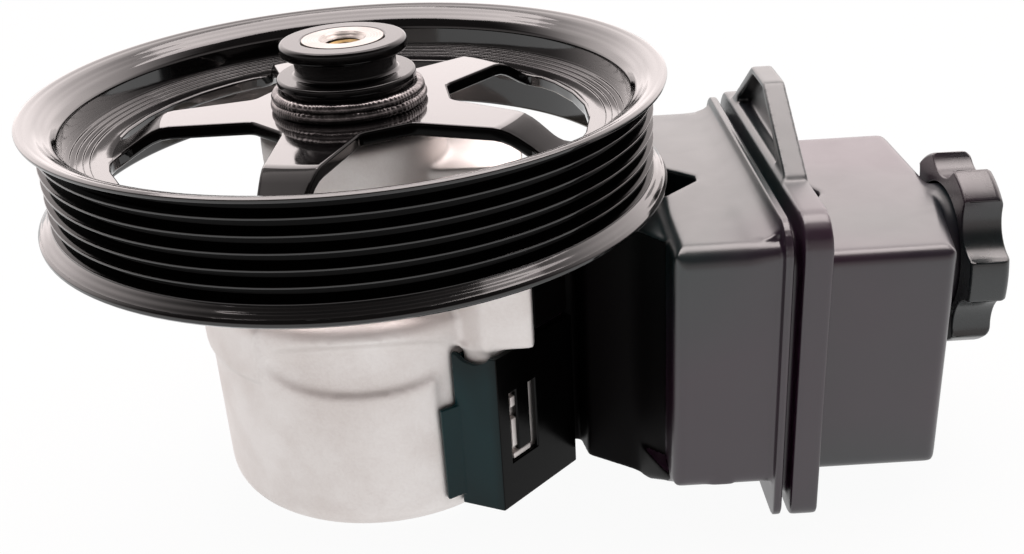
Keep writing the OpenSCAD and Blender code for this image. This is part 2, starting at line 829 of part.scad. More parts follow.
module retaining_ring() {
  gap_a = 14;
  color(steel)
    translate([0, 0, ring_groove_z])
      rotate(gap_a)
        rotate_extrude(angle = 360 - 2 * gap_a)
          translate([bore_r - 0.1, 0])
            circle(ring_wire, $fn = 24);
}

// Spool with two lands and a narrow waist, on the Y axis from y = 0
module flow_control_valve() {
  land = 6.5;
  color(bright)
    translate([valve_x, valve_y0, valve_z])
      rotate([-90, 0, 0])
        difference() {
          union() {
            cylinder(r = valve_r - run_gap, h = land);
            cylinder(r = waist_r, h = valve_l);
            translate([0, 0, valve_l - land])
              cylinder(r = valve_r - run_gap, h = land);
          }
          translate([0, 0, -eps])
            cylinder(r = pocket_r, h = pocket_l);
        }
}

module valve_spring() {
  spring_l = valve_y0 + pocket_l - 2 * seat_gap - valve_end_y;
  color(steel)
    translate([valve_x, valve_end_y + seat_gap, valve_z])
      rotate([-90, 0, 0])
        coil_spring(pocket_r - spring_wire - 2 * seat_gap, spring_wire, spring_l, 7);
}

module outlet_fitting() {
  hex_h = 8;
  head_y = block_half_w + 3 + seat_gap;
  tip_l = outlet_l - hex_h;
  color(steel)
    translate([valve_x, 0, valve_z])
      rotate([-90, 0, 0])
        difference() {
          union() {
            translate([0, 0, valve_y1 + seat_gap])
              cylinder(r = valve_r - fit_gap, h = head_y - valve_y1);
            translate([0, 0, head_y])
              cylinder(r = valve_r + 3, h = hex_h, $fn = 6);
            translate([0, 0, head_y + hex_h - eps])
              cylinder(r = valve_r, h = tip_l);
          }
          translate([0, 0, -block_half_w])
            cylinder(r = 2.5, h = 4 * block_half_w);
          translate([0, 0, head_y + 2])
            cylinder(r = outlet_r, h = 2 * block_half_w);
          translate([0, 0, block_half_w - 2])
            cord_ring(valve_r, cord_r * 0.8);
        }
}

module outlet_seal() {
  color(rubber)
    translate([valve_x, block_half_w - 2, valve_z])
      rotate([-90, 0, 0])
        intersection() {
          cord_ring(valve_r, cord_r * 0.8 - fit_gap);
          cylinder(r = valve_r - fit_gap, h = 10, center = true);
        }
}

module joint_seal() {
  color(rubber)
    translate([joint_x + cord_r, 0, valve_z])
      rotate([0, 90, 0])
        cord_ring(suction_r + 2, cord_r - fit_gap);
}

// Plan of the neck, drawn in by the inset: narrow behind the clips, then flaring to full width
function neck_plan(inset) =
  rounded(both_sides([[joint_x + seat_gap + 2 * inset, -neck_half_w + inset, 0],
                      [clip_p3.x + 2.5 + inset, -neck_half_w + inset, 1],
                      [clip_p3.x + 4 + inset, -flare_half_w + inset, 2],
                      [base_x0 - 8 + inset / 2, -flare_half_w - 8 + inset, 14],
                      [base_x0 + 6, -base_half_w + inset, 5],
                      [base_x0 + 12, -base_half_w + inset, 0]]));

// Neck between the pump and the wide part, lower where it meets the pump
module neck(inset) {
  top = base_z1 - 2 - inset;
  low = neck_z0 + inset;
  step = base_z0 + 1 + inset;
  translate([0, 0, step])
    linear_extrude(top - step)
      polygon(neck_plan(inset));
  translate([0, 0, low])
    linear_extrude(top - low)
      intersection() {
        polygon(neck_plan(inset));
        translate([joint_x, -base_half_w])
          square([base_x0 - 5 - inset - joint_x, 2 * base_half_w]);
      }
}

// V shaped pocket in the upper face, with the walls around it when it is grown by wall
module base_pocket(grow, z1) {
  floor_z = base_z1 - pocket_d - grow;
  tip = [base_x0 + 9.4 + grow, -5];
  mouth = 9.5 + 2 * grow;
  translate([0, 0, floor_z])
    linear_extrude(z1 - floor_z)
      polygon([tip + [0, -1.2], tip + [0, 1.2 + grow / 4], tip + [-mouth, 10 + grow],
               tip + [-mouth, -10.6 - grow]]);
}

module reservoir_base() {
  rail = [[joint_x + seat_gap, rail_y], clip_p3, clip_hook3, [clip_hook3.x - 1, -neck_half_w + 2]];
  seam_d = 0.6;
  rim_t = lip_t * 0.3;
  cove_l = 6.5;
  cove_h = band_z0 + band_h - base_z1 - 1.4;
  cove = [for (a = [0:11.25:90])
    [lip_x - cove_l * (1 - cos(a)), base_z1 + cove_h * (1 - sin(a))]];
  color(plastic)
    difference() {
      union() {
        soft_box(base_x0 - 2, weld_x - lip_t / 2, base_half_w, base_z0, base_z1, edge_r);
        neck(0);
        translate([0, 0, rail_z0 + 2])
          linear_extrude(block_z1 - rail_z0 - 2)
            polygon(mirrored(rail));
        // Lip with a seam groove along its edge
        across(lip_x, lip_t)
          polygon(band_outline(seam_d, band_z0 + band_h - seam_d));
        for (x = [lip_x, weld_x - rim_t])
          across(x, rim_t)
            polygon(band_outline(0, band_z0 + band_h));
        // Cove that leads the upper face up to the lip
        along(base_half_w - edge_r)
          polygon(concat([[lip_x + eps, base_z1 - 1], [lip_x + eps, base_z1 + cove_h]], cove,
                         [[lip_x - cove_l, base_z1 - 1]]));
        // Return hose nipple with its bead, on the side away from the pulley's front
        translate([nipple_x, base_half_w - 1, nipple_z])
          rotate([-90, 0, 0]) {
            cylinder(r = nipple_r, h = nipple_l + 1);
            translate([0, 0, nipple_l - 3])
              cylinder(r1 = nipple_r + 0.9, r2 = nipple_r, h = 3);
            cylinder(r = nipple_r + 3, h = 4);
          }
      }
      difference() {
        union() {
          soft_box(base_x0 - 2 + wall, weld_x + 1, base_half_w - wall, base_z0 + wall, base_z1 - wall,
                   edge_r - 1);
          neck(wall);
        }
        base_pocket(wall, base_z1);
      }
      clip_room();
      base_pocket(0, base_z1 + 1);
      translate([nipple_x, 0, nipple_z])
        rotate([-90, 0, 0])
          cylinder(r = nipple_r - 1.8, h = base_half_w + nipple_l + 1);
      translate([joint_x - 1, 0, valve_z])
        rotate([0, 90, 0]) {
          cylinder(r = suction_r, h = 3 * wall);
          cylinder(r = suction_r + 2 + cord_r, h = 1 + 2 * cord_r);
        }
    }
}

// Rounded box of the filler half: the front part of its end wall is skewed in plan
module end_box(inset) {
  r = edge_r - inset / 3;
  w = end_half_w - inset;
  z0 = end_z0 + inset;
  z1 = end_z1 - inset;
  x0 = weld_x + band_t / 2;
  x1 = end_x1 - inset;
  x2 = x1 + end_skew;
  clear = 0.2;
  far = x2 - x0 + 20;
  intersection() {
    across(x0, x2 - x0 + 1)
      rounded_rect(w, z0, z1, r);
    linear_extrude(z1 + 1)
      polygon(rounded([[x0 - 1, -w - clear, 0], [x1, -w - clear, r], [x2, cap_y, 2 * r],
                       [x2, w + clear, 2 * r], [x0 - 1, w + clear, 0]]));
    translate([x1, -w, 0])
      rotate(-atan(end_skew / (w + cap_y)))
        along(3 * w)
          polygon(rounded([[-far, z0 - clear, 0], [clear, z0 - clear, r], [clear, z1 + clear, r],
                           [-far, z1 + clear, 0]]));
    along(w + 1)
      polygon(rounded([[x0 - 1, z0 - clear, 0], [x2 + clear, z0 - clear, r],
                       [x2 + clear, z1 + clear, r], [x0 - 1, z1 + clear, 0]]));
  }
}

// Outline of the weld flange with rounded corners, drawn in by the inset
function band_outline(inset, z1) =
  rounded(both_sides_y([[-band_half_w + inset, band_z0 + inset, 4], [-band_half_w + inset, z1, 8]]));

// Small V shaped pocket in the filler half's upper face beside the ear
module end_pocket(grow, z1) {
  floor_z = end_z1 - pocket_d - grow;
  translate([0, 0, floor_z])
    linear_extrude(z1 - floor_z)
      polygon([[band_x1 - eps, -17.5 - grow], [band_x1 + 9 + grow, -2.6 - grow / 2],
               [band_x1 + 9 + grow, -1.4 + grow / 2], [band_x1 - eps, 20 + grow]]);
}

module reservoir_end() {
  ear_half = 7;
  front_slope = 34;
  back_slope = 30;
  ear_back = 1;
  lip_z1 = band_z0 + band_h;
  band_z1 = lip_z1 + band_step;
  mouth_r = 4;
  ear_wall = 1.8;
  color(plastic)
    difference() {
      union() {
        across(weld_x, band_t)
          polygon(band_outline(4, lip_z1 - 4));
        across(weld_x + band_groove, band_t - band_groove)
          polygon(band_outline(0, band_z1));
        across(weld_x + band_groove + ear_back, band_t - band_groove - ear_back)
          polygon(rounded([[ear_y + back_slope, band_z1 - 9, 0], [ear_y + back_slope, band_z1, 4],
                           [ear_y + ear_half, band_z1 + ear_h, 3], [ear_y - ear_half, band_z1 + ear_h, 4],
                           [ear_y - front_slope, band_z1, 4], [ear_y - front_slope, band_z1 - 9, 0]]));
        end_box(0);
        translate([end_x1 - 4, cap_y, cap_z])
          rotate([0, 90, 0])
            cylinder(r = filler_r, h = filler_x1 - end_x1 + 4);
      }
      difference() {
        end_box(wall);
        end_pocket(wall, end_z1);
      }
      // Mouth of the half, open to the pump half
      across(weld_x - 1, band_t / 2 + 2)
        rounded_rect(end_half_w - wall, end_z0 + wall, end_z1 - wall, mouth_r);
      translate([end_x1 - 12, cap_y, cap_z])
        rotate([0, 90, 0])
          cylinder(r = filler_r - wall, h = end_skew + cap_t + 20);
      end_pocket(0, end_z1 + 1);
      // Hollow of the ear, open towards the pump half
      across(weld_x, band_t - ear_wall)
        polygon(rounded([[ear_y + back_slope - 3 * ear_wall, band_z1 + ear_wall / 2, 0.8],
                         [ear_y + ear_half - ear_wall, band_z1 + ear_h - ear_wall, 2],
                         [ear_y - ear_half + ear_wall / 2, band_z1 + ear_h - ear_wall, 2],
                         [ear_y - front_slope + 5 * ear_wall, band_z1 + ear_wall / 2, 0.8]]));
    }
}

module front_clip() {
  slot_w = 2.3;
  slot_z0 = clip_z0 + 12;
  dip_r = 5.1;
  dip_d = 2.2;
  dip = (clip_p1 + clip_p2) / 2;
  slot_h = 19;
  tongue_w = 4.4;
  color(black_steel)
    difference() {
      union() {
        translate([0, 0, clip_z0])
          linear_extrude(clip_z1 - clip_z0)
            polygon(clip_plan(0));
        translate([0, 0, clip_tab_z1 + 1.5])
          linear_extrude(clip_z1 - clip_tab_z1 - 3)
            polygon(clip_fold_plan(clip_hook0, 0));
        translate([0, 0, clip_z0 + 3])
          linear_extrude(clip_tab_z1 - clip_z0 - 3)
            polygon(clip_fold_plan(clip_tab, 0));
      }
      // Slot around the clip's spring tongue, in the wing on the reservoir's side
      translate([clip_p2.x, clip_p2.y, slot_z0])
        rotate(wing_a)
          translate([3.4, -clip_t, 0])
            difference() {
              cube([tongue_w + 2 * slot_w, 2 * clip_t, slot_h]);
              translate([slot_w, -1, slot_w])
                cube([tongue_w, 2 * clip_t + 2, slot_h]);
            }
      // Dip in the upper edge of the wing on the pump's side
      translate([dip.x, dip.y, clip_z1 + dip_r - dip_d])
        rotate([90, 0, atan2(clip_p2.y - clip_p1.y, clip_p2.x - clip_p1.x)])
          cylinder(r = dip_r, h = 2 * clip_t, center = true);
    }
}

module rear_clip() {
  mirror([0, 1, 0])
    front_clip();
}

module cap_outline() {
  difference() {
    circle(cap_r);
    for (i = [0:cap_lobes - 1])
      rotate(360 / cap_lobes * (i + 0.5))
        translate([cap_r - scallop_d + scallop_r, 0])
          circle(scallop_r, $fn = 36);
  }
}

module filler_cap() {
  plug_r = filler_r - wall - 0.6;
  plug_l = 12;
  turn = 27;
  color(plastic)
    translate([cap_x0, cap_y, cap_z])
      rotate([0, 90, 0])
        difference() {
          union() {
            intersection() {
              rotate(turn)
                linear_extrude(cap_t)
                  cap_outline();
              rotate_extrude()
                polygon(rounded([[0, 0, 0], [cap_r, 0, 0.8], [cap_r, cap_t, 2], [0, cap_t, 0]]));
            }
            translate([0, 0, cap_t - cap_top_t - plug_l])
              cylinder(r = plug_r, h = plug_l + 1);
          }
          // Space around the plug that takes the filler neck
          translate([0, 0, -eps])
            difference() {
              cylinder(r = filler_r + 0.6, h = cap_t - cap_top_t);
              translate([0, 0, -1])
                cylinder(r = plug_r, h = cap_t);
            }
          translate([0, 0, cap_t - cap_top_t - plug_l - eps])
            cylinder(r = plug_r - 2, h = plug_l + eps);
        }
}

module cap_gasket() {
  color(rubber)
    translate([filler_x1 + seat_gap, cap_y, cap_z])
      rotate([0, 90, 0])
        ring(filler_r - wall, filler_r, 0, gasket_t - 2 * seat_gap);
}

module dipstick() {
  color(plastic)
    translate([cap_floor_x - stick_l, cap_y, cap_z]) {
      translate([0, -stick_w / 2, -stick_t / 2])
        cube([stick_l, stick_w, stick_t]);
      translate([stick_l - foot_t, 0, 0])
        rotate([0, 90, 0])
          cylinder(r = foot_r, h = foot_t);
    }
}

pulley();
pulley_hub();
weld_bead();
drive_shaft();
rotor();
vanes();
rotor_snap_ring();
pump_housing();
shaft_bushing();
shaft_seal();
thrust_plate();
cam_ring();
pressure_plate();
dowel_pins();
pressure_spring();
end_cover();
end_cover_seal();
retaining_ring();
flow_control_valve();
valve_spring();
outlet_fitting();
outlet_seal();
joint_seal();
reservoir_base();
reservoir_end();
front_clip();
rear_clip();
filler_cap();
cap_gasket();
dipstick();
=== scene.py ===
import bpy
import bmesh
from math import atan2, copysign, cos, exp, hypot, pi, radians, sin
from mathutils import Matrix, Vector


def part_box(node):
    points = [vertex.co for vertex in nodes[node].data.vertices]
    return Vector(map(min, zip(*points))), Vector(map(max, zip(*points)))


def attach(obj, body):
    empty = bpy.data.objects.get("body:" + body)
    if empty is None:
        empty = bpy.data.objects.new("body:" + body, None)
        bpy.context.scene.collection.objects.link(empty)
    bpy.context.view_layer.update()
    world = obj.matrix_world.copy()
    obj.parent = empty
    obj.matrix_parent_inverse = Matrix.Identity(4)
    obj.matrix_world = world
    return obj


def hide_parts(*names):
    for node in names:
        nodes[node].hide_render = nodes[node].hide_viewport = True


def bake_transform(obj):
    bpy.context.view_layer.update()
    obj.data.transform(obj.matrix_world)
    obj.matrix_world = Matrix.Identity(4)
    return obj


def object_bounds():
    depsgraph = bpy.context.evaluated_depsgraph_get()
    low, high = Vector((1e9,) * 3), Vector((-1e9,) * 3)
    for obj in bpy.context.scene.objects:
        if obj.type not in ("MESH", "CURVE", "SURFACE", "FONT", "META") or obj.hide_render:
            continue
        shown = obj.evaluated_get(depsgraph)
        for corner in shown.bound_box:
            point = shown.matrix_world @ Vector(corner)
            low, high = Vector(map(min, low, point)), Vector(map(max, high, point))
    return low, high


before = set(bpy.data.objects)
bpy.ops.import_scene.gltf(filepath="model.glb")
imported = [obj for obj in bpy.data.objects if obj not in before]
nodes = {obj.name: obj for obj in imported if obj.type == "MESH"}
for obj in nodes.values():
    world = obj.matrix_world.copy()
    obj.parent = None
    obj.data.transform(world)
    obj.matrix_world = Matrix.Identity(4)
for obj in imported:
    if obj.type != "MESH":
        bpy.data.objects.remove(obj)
cadBox = [list(corner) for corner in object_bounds()]
mm = 0.001    # the frame is in metres, the settings below are in millimetres
mergeMm = 0.02    # points of a node's mesh that lie nearer than this become one
flatDegrees = 0.3    # faces that meet at less than this become one
print("frame loaded:", len(nodes), "nodes")


def linear(hexColour):    # sRGB hex to the linear colour that a shader takes
    parts = [int(hexColour[i:i + 2], 16) / 255 for i in (1, 3, 5)]
    return [c / 12.92 if c <= 0.04045 else ((c + 0.055) / 1.055) ** 2.4 for c in parts] + [1]


def add(tree, kind, values={}, **settings):    # one node with its settings, values and links
    node = tree.nodes.new("ShaderNode" + kind)
    for name, value in settings.items():
        setattr(node, name, value)
    for name, value in values.items():
        if isinstance(value, bpy.types.NodeSocket):
            tree.links.new(value, node.inputs[name])
        else:
            node.inputs[name].default_value = value
    return node


def perMetre(sizeMm):    # texture scale whose pattern repeats about every sizeMm
    return 1 / (sizeMm * mm)


# Camera, at the photograph's angle
shot = {"place": (35.8, -274.7, 179.6), "elevation": 25.95, "roll": -3.47, "focalPx": 1200, "widthPx": 1024,
        "sensorMm": 36, "nearest": 10}
camera = bpy.data.objects.new("camera", bpy.data.cameras.new("camera"))
bpy.context.scene.collection.objects.link(camera)
camera.data.sensor_fit = "HORIZONTAL"
camera.data.sensor_width = shot["sensorMm"]
camera.data.lens = shot["sensorMm"] * shot["focalPx"] / shot["widthPx"]
camera.data.clip_start = shot["nearest"] * mm
camera.matrix_world = (Matrix.Translation(Vector(shot["place"]) * mm)
                       @ Matrix.Rotation(radians(90 - shot["elevation"]), 4, "X")
                       @ Matrix.Rotation(radians(shot["roll"]), 4, "Z"))
bpy.context.scene.camera = camera
bpy.context.scene.view_settings.view_transform = "Standard"
print("camera set")

# Studio: pale paper floor, a sky with a bright band behind and dim elsewhere, and one softbox overhead
studio = {"floor": 8000, "floorGap": 0.05, "paper": "#cbcaca", "paperGlow": 0.95, "tint": "#fff4f2",
          "skyFront": 0.7, "skyFrontTop": 0.08, "skyLow": 1.6, "skyMid": 2.8,
          "skyTop": 0.4,    # a share of the band's own strength
          "bandWay": (0, 0.75, 0.3),    # behind and above
          "bandEdge": (0.1, 0.6), "bandRise": (0.15, 0.42), "bandFall": (0.58, 0.9),
          "frontFall": (0.2, 0.6),
          "softbox": {"place": (60, 350, 1260), "aim": (60, 20, 90), "size": (1500, 800), "power": 20}}
light = bpy.data.lights.new("softbox", "AREA")
light.shape = "RECTANGLE"
light.size, light.size_y = (side * mm for side in studio["softbox"]["size"])
light.energy = studio["softbox"]["power"]
light.color = linear(studio["tint"])[:3]
softbox = bpy.data.objects.new("softbox", light)
bpy.context.scene.collection.objects.link(softbox)
boxPlace = Vector(studio["softbox"]["place"]) * mm
aim = Vector(studio["softbox"]["aim"]) * mm - boxPlace
softbox.matrix_world = Matrix.Translation(boxPlace) @ aim.to_track_quat("-Z", "Y").to_matrix().to_4x4()
softbox.visible_camera = False

sky = bpy.data.worlds.new("studioSky")
bpy.context.scene.world = sky
sky.use_nodes = True
tree = sky.node_tree
skyWay = add(tree, "TexCoord").outputs["Generated"]
lean = add(tree, "VectorMath", {0: skyWay, 1: studio["bandWay"]}, operation="DOT_PRODUCT")
behind = add(tree, "MapRange", {"Value": lean.outputs["Value"], "From Min": studio["bandEdge"][0],
                                "From Max": studio["bandEdge"][1]}, interpolation_type="SMOOTHSTEP")
height = add(tree, "SeparateXYZ", {"Vector": skyWay})
raised = add(tree, "MapRange", {"Value": height.outputs["Z"], "From Min": studio["bandRise"][0],
                                "From Max": studio["bandRise"][1], "To Min": studio["skyLow"],
                                "To Max": studio["skyMid"]}, interpolation_type="SMOOTHSTEP")
overhead = add(tree, "MapRange", {"Value": height.outputs["Z"], "From Min": studio["bandFall"][0],
                                  "From Max": studio["bandFall"][1], "To Min": 1.0,
                                  "To Max": studio["skyTop"]}, interpolation_type="SMOOTHSTEP")
band = add(tree, "Math", {0: raised.outputs[0], 1: overhead.outputs[0]}, operation="MULTIPLY")
ahead = add(tree, "MapRange", {"Value": height.outputs["Z"], "From Min": studio["frontFall"][0],
                               "From Max": studio["frontFall"][1], "To Min": studio["skyFront"],
                               "To Max": studio["skyFrontTop"]}, interpolation_type="SMOOTHSTEP")
skyLevel = add(tree, "Math", {0: behind.outputs[0], 1: band.outputs[0], 2: ahead.outputs[0]},
               operation="MULTIPLY_ADD")
tree.links.new(skyLevel.outputs[0], tree.nodes["Background"].inputs["Strength"])
tree.nodes["Background"].inputs["Color"].default_value = linear(studio["tint"])

bm = bmesh.new()
bmesh.ops.create_grid(bm, x_segments=1, y_segments=1, size=studio["floor"] * mm / 2)
bmesh.ops.translate(bm, verts=bm.verts, vec=(0, 0, cadBox[0][2] - studio["floorGap"] * mm))
floorMesh = bpy.data.meshes.new("floor")
bm.to_mesh(floorMesh)
bm.free()
floor = bpy.data.objects.new("floor", floorMesh)
bpy.context.scene.collection.objects.link(floor)
# Matt paper that the eye takes as white, with a faint shadow
paper = bpy.data.materials.new("whiteStudioPaper")
paper.use_nodes = True
tree = paper.node_tree
shader = tree.nodes["Principled BSDF"]
shader.inputs["Base Color"].default_value = linear(studio["paper"])
shader.inputs["Roughness"].default_value = 0.9
shader.inputs["Specular IOR Level"].default_value = 0.1
ray = add(tree, "LightPath")
seen = add(tree, "Math", {0: ray.outputs["Is Camera Ray"], 1: ray.outputs["Is Glossy Ray"]},
           operation="MAXIMUM")
seen = add(tree, "Math", {0: seen.outputs[0], 1: ray.outputs["Is Transmission Ray"]}, operation="MAXIMUM")
glowShare = add(tree, "Math", {0: seen.outputs[0], 1: studio["paperGlow"]}, operation="MULTIPLY")
glow = add(tree, "Emission", {"Color": (1, 1, 1, 1), "Strength": 1.0})
lit = add(tree, "MixShader", {0: glowShare.outputs[0], 1: shader.outputs[0], 2: glow.outputs[0]})
tree.links.new(lit.outputs[0], tree.nodes["Material Output"].inputs["Surface"])
floorMesh.materials.append(paper)
print("studio set")


def newMaterial(name, values):    # a shader with its fixed values, and the piece's own coordinates
    material = bpy.data.materials.new(name)
    material.use_nodes = True
    tree = material.node_tree
    shader = tree.nodes["Principled BSDF"]
    for socket, value in values.items():
        shader.inputs[socket].default_value = value
    return material, tree, shader, add(tree, "TexCoord").outputs["Object"]


# Electro-coated steel: black dip paint, deep gloss with a faint orange peel and a little dust
def dippedPaint(name, look):
    material, tree, shader, where = newMaterial(name, {
        "IOR": 1.5, "Specular IOR Level": look["specular"], "Coat Weight": look["lacquer"],
        "Coat Roughness": look["roughness"]})
    peel = add(tree, "TexNoise", {"Vector": where, "Scale": perMetre(look["peelMm"]), "Detail": 2.0})
    dust = add(tree, "TexNoise", {"Vector": where, "Scale": perMetre(look["dustMm"]), "Detail": 4.0})
    bloomAndSheen = add(tree, "TexNoise", {"Vector": where, "Scale": perMetre(look["bloomMm"]), "Detail": 1.0})
    # The bloom fades out along X, from the first place to the second; on the clip this fading blue-green
    # tint is a painted sheen on the wing nearest the housing
    along = add(tree, "SeparateXYZ", {"Vector": where})
    bloomAndSheenFade = add(tree, "MapRange", {"Value": along.outputs["X"], "From Min": look["bloomAndSheenFrom"] * mm,
                                  "From Max": look["bloomAndSheenTo"] * mm, "To Min": 1.0, "To Max": 0.0},
               interpolation_type="SMOOTHSTEP")
    bloomShare = add(tree, "MapRange", {"Value": bloomAndSheen.outputs[0], "From Min": 0.3, "From Max": 0.6})
    bloomShare = add(tree, "Math", {0: bloomShare.outputs[0], 1: bloomAndSheenFade.outputs[0]}, operation="MULTIPLY")
    colour = add(tree, "Mix", {0: bloomShare.outputs[0], 6: linear(look["colour"]),
                               7: linear(look["bloomAndSheen"])}, data_type="RGBA")
    gloss = add(tree, "MapRange", {"Value": dust.outputs[0], "From Min": 0.45, "From Max": 0.75,
                                   "To Min": look["roughness"],
                                   "To Max": look["roughness"] + look["dustDull"]})
    flat = add(tree, "VectorMath", {0: where, 1: (1, 1, 0)}, operation="MULTIPLY")
    radius = add(tree, "VectorMath", {0: flat.outputs[0]}, operation="LENGTH")
    outside = add(tree, "MapRange", {"Value": radius.outputs["Value"], "From Min": look["spunFrom"] * mm,
                                     "From Max": (look["spunFrom"] + 1) * mm,
                                     "To Max": look["spunDepthMm"] * mm})
    rings = add(tree, "Math", {0: radius.outputs["Value"], 1: 2 * pi * perMetre(look["spunMm"])},
                operation="MULTIPLY")    # rings left in the steel by the spinning roller
    rings = add(tree, "Math", {0: rings.outputs[0]}, operation="SINE")
    spun = add(tree, "Math", {0: rings.outputs[0], 1: outside.outputs[0]}, operation="MULTIPLY")
    height = add(tree, "Math", {0: peel.outputs[0], 1: look["peelDepthMm"] * mm, 2: spun.outputs[0]},
                 operation="MULTIPLY_ADD")
    bump = add(tree, "Bump", {"Height": height.outputs[0], "Strength": 1.0, "Distance": 1.0})
    tree.links.new(colour.outputs[2], shader.inputs["Base Color"])
    tree.links.new(gloss.outputs[0], shader.inputs["Roughness"])
    tree.links.new(bump.outputs[0], shader.inputs["Normal"])
    return material


# Die-cast aluminium: pale satin skin with cloudy patches from the die
# Its blasted grain is drawn coarser than it is, so that it shows
def castMetal(name, look):
    material, tree, shader, where = newMaterial(name, {"Metallic": 1.0})
    cloud = add(tree, "TexNoise", {"Vector": where, "Scale": perMetre(look["cloudMm"]), "Detail": 3.0})
    grit = add(tree, "TexNoise", {"Vector": where, "Scale": perMetre(look["gritMm"]), "Detail": 3.0,
                                  "Roughness": 0.65})
    cloudShare = add(tree, "MapRange", {"Value": cloud.outputs[0], "From Min": 0.35, "From Max": 0.65})
    colour = add(tree, "Mix", {0: cloudShare.outputs[0], 6: linear(look["dark"]), 7: linear(look["light"])},
                 data_type="RGBA")
    rough = add(tree, "MapRange", {"Value": grit.outputs[0], "From Min": 0.3, "From Max": 0.7,
                                   "To Min": look["roughness"] - 0.06, "To Max": look["roughness"] + 0.06})
    bump = add(tree, "Bump", {"Height": grit.outputs[0], "Strength": 1.0,
                              "Distance": look["gritDepthMm"] * mm})
    tree.links.new(colour.outputs[2], shader.inputs["Base Color"])
    tree.links.new(rough.outputs[0], shader.inputs["Roughness"])
    tree.links.new(bump.outputs[0], shader.inputs["Normal"])
    return material


# Moulded glass-filled nylon: satin black with a faint bloom of mauve and green
# The mould's grain is drawn coarser than it is, so that it shows
def mouldedPlastic(name, look):
    material, tree, shader, where = newMaterial(name, {"IOR": 1.53, "Specular IOR Level": look["specular"]})
    bloomAndSheen = add(tree, "TexNoise", {"Vector": where, "Scale": perMetre(look["bloomMm"]), "Detail": 1.0})
    grain = add(tree, "TexNoise", {"Vector": where, "Scale": perMetre(look["grainMm"]), "Detail": 2.5})
    scuff = add(tree, "TexNoise", {"Vector": where, "Scale": perMetre(look["scuffMm"]), "Detail": 4.0,
                                   "Distortion": 0.6})
    bloomShare = add(tree, "MapRange", {"Value": bloomAndSheen.outputs[0], "From Min": 0.38, "From Max": 0.62})
    colour = add(tree, "Mix", {0: bloomShare.outputs[0], 6: linear(look["green"]),
                               7: linear(look["mauve"])}, data_type="RGBA")
    rough = add(tree, "MapRange", {"Value": scuff.outputs[0], "From Min": 0.35, "From Max": 0.7,
                                   "To Min": look["roughness"] - 0.02, "To Max": look["roughness"] + 0.03})
    bump = add(tree, "Bump", {"Height": grain.outputs[0], "Strength": 1.0,
                              "Distance": look["grainDepthMm"] * mm})
    tree.links.new(colour.outputs[2], shader.inputs["Base Color"])
    tree.links.new(rough.outputs[0], shader.inputs["Roughness"])
    tree.links.new(bump.outputs[0], shader.inputs["Normal"])
    return material


# Turned or ground metal: rings round an axis, left by the tool, over a slightly uneven tone
# The rings are drawn coarser than they are, so that they show
def turnedMetal(name, look):
    material, tree, shader, where = newMaterial(name, {"Metallic": 1.0})
    rings = add(tree, "TexWave", {"Vector": where, "Distortion": 1.0, "Detail": 2.0,
                                  "Scale": 2 * pi / 20 * perMetre(look["lineMm"])},    # 20 waves in 2 pi
                wave_type="RINGS", rings_direction="Z")
    tone = add(tree, "TexNoise", {"Vector": where, "Scale": perMetre(look["toneMm"]), "Detail": 3.0})
    toneShare = add(tree, "MapRange", {"Value": tone.outputs[0], "From Min": 0.35, "From Max": 0.65})
    colour = add(tree, "Mix", {0: toneShare.outputs[0], 6: linear(look["dark"]), 7: linear(look["light"])},
                 data_type="RGBA")
    rough = add(tree, "MapRange", {"Value": rings.outputs[1], "To Min": look["roughness"] - 0.05,
                                   "To Max": look["roughness"] + 0.07})
    bump = add(tree, "Bump", {"Height": rings.outputs[1], "Strength": 0.6,
                              "Distance": look["lineDepthMm"] * mm})
    tree.links.new(colour.outputs[2], shader.inputs["Base Color"])
    tree.links.new(rough.outputs[0], shader.inputs["Roughness"])
    tree.links.new(bump.outputs[0], shader.inputs["Normal"])
    return material


# Moulded nitrile rubber: matt black with a fine tooth, drawn coarse enough to show
def mouldedRubber(name, look):
    material, tree, shader, where = newMaterial(name, {"IOR": 1.5, "Specular IOR Level": 0.3})
    tooth = add(tree, "TexNoise", {"Vector": where, "Scale": perMetre(look["toothMm"]), "Detail": 3.0})
    colour = add(tree, "Mix", {0: tooth.outputs[0], 6: linear(look["dark"]), 7: linear(look["light"])},
                 data_type="RGBA")
    rough = add(tree, "MapRange", {"Value": tooth.outputs[0], "To Min": 0.55, "To Max": 0.8})
    bump = add(tree, "Bump", {"Height": tooth.outputs[0], "Strength": 0.8,
                              "Distance": look["toothDepthMm"] * mm})
    tree.links.new(colour.outputs[2], shader.inputs["Base Color"])
    tree.links.new(rough.outputs[0], shader.inputs["Roughness"])
    tree.links.new(bump.outputs[0], shader.inputs["Normal"])
    return material


